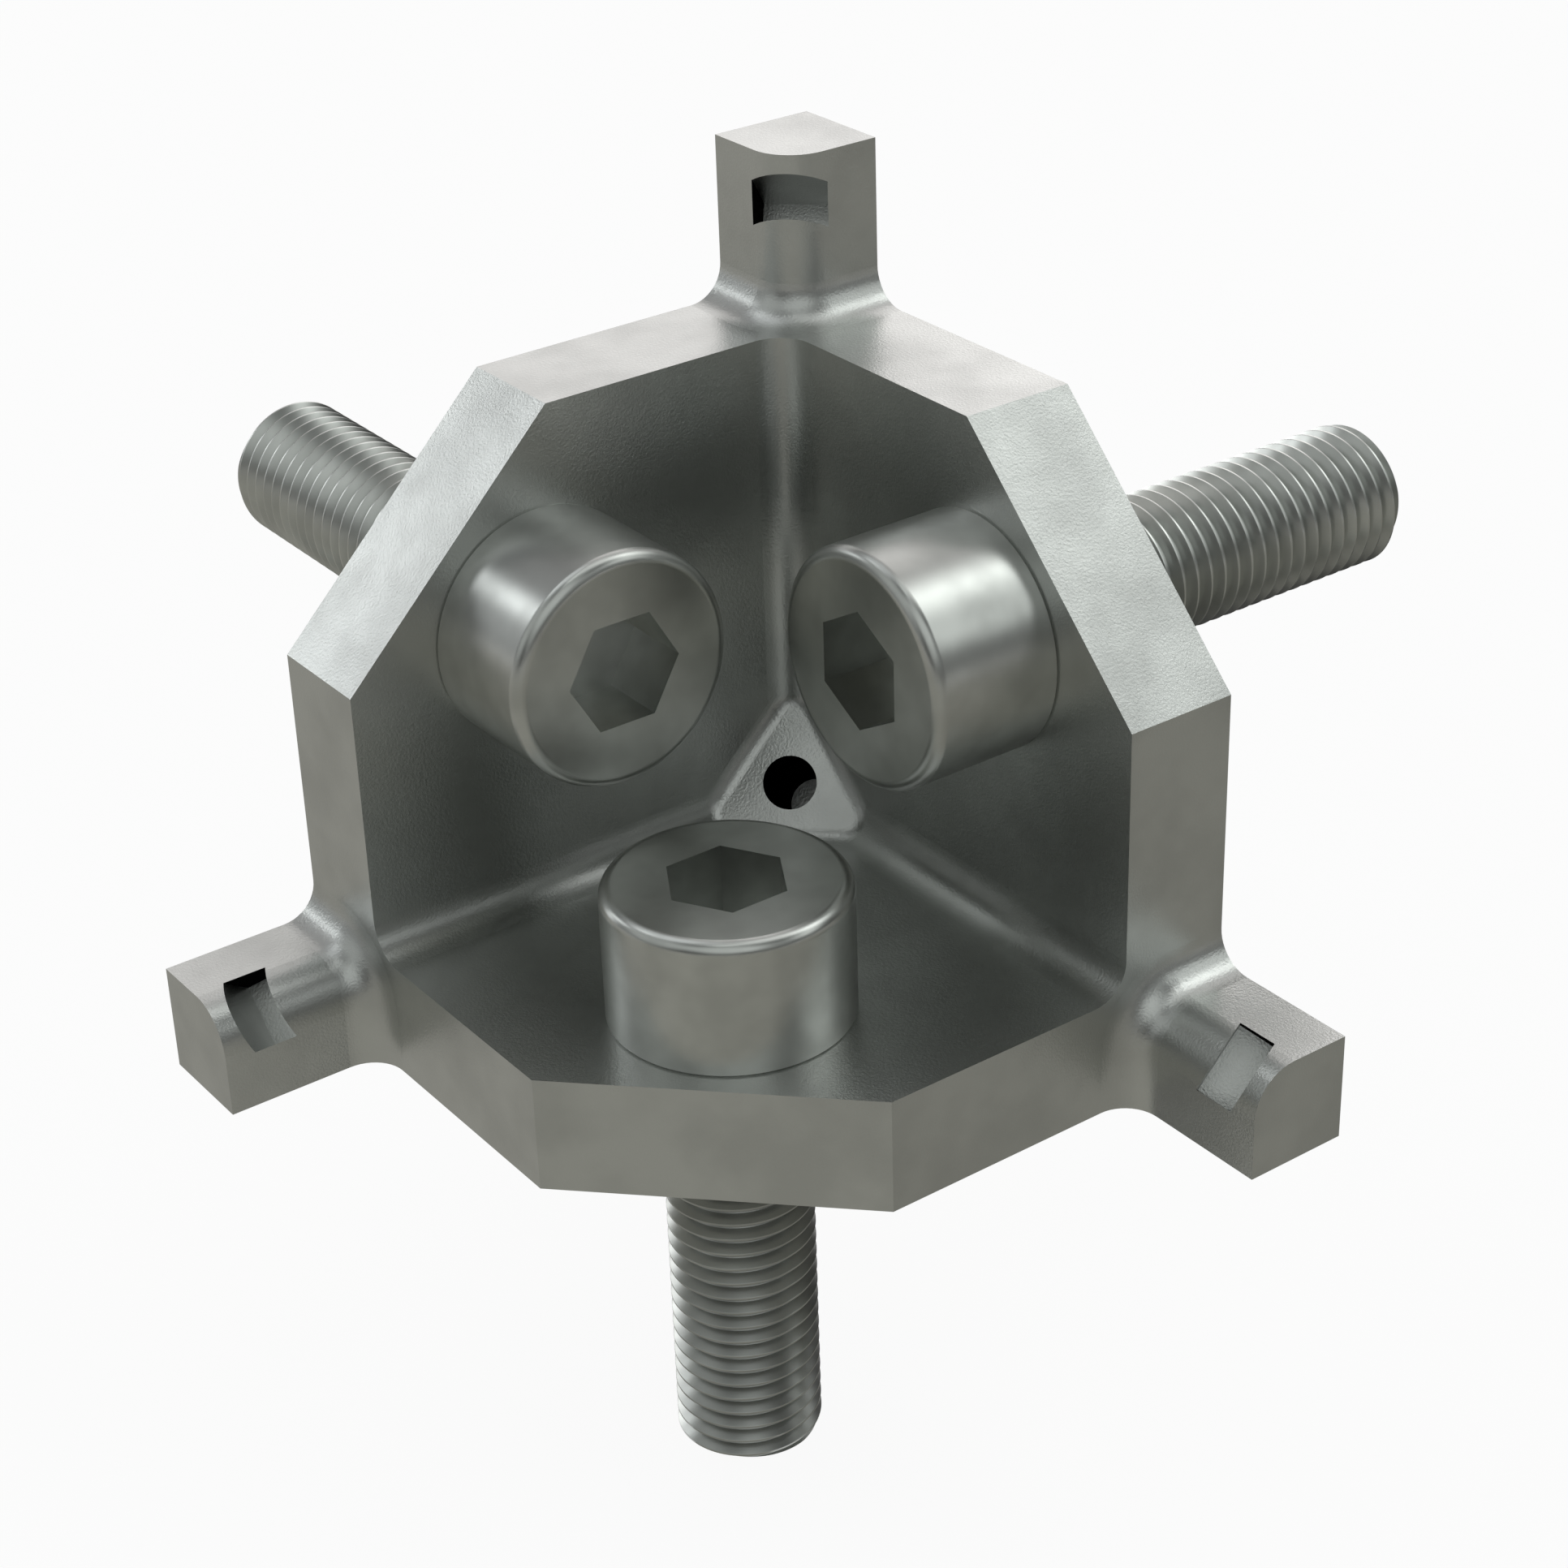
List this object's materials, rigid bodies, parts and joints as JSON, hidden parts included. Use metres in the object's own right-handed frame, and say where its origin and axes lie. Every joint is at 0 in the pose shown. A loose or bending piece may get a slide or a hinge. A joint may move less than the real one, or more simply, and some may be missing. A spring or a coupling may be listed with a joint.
{
  "type": "cube connector",
  "caption": "Die-cast corner that joins square profiles at right angles, with flat plates, short square arms, clip pockets and a socket head screw through each plate.",
  "frame": {"origin": "the outer corner of the cube, where the three outer faces meet", "axes": "+X, +Y and +Z run along the three arms; the open side looks along (1, 1, 1), and the screws' threads point along -X, -Y and -Z"},
  "size_m": [0.063, 0.063, 0.063],
  "materials": {
    "die_cast_metal": "satin as cast, with a very fine grain",
    "screw_steel": "smooth satin, cloudy, no plating colour"
  },
  "bodies": {
    "root": {"corner_casting": "die_cast_metal", "socket_screw_x": "screw_steel", "socket_screw_y": "screw_steel", "socket_screw_z": "screw_steel"}
  },
  "joints": []
}
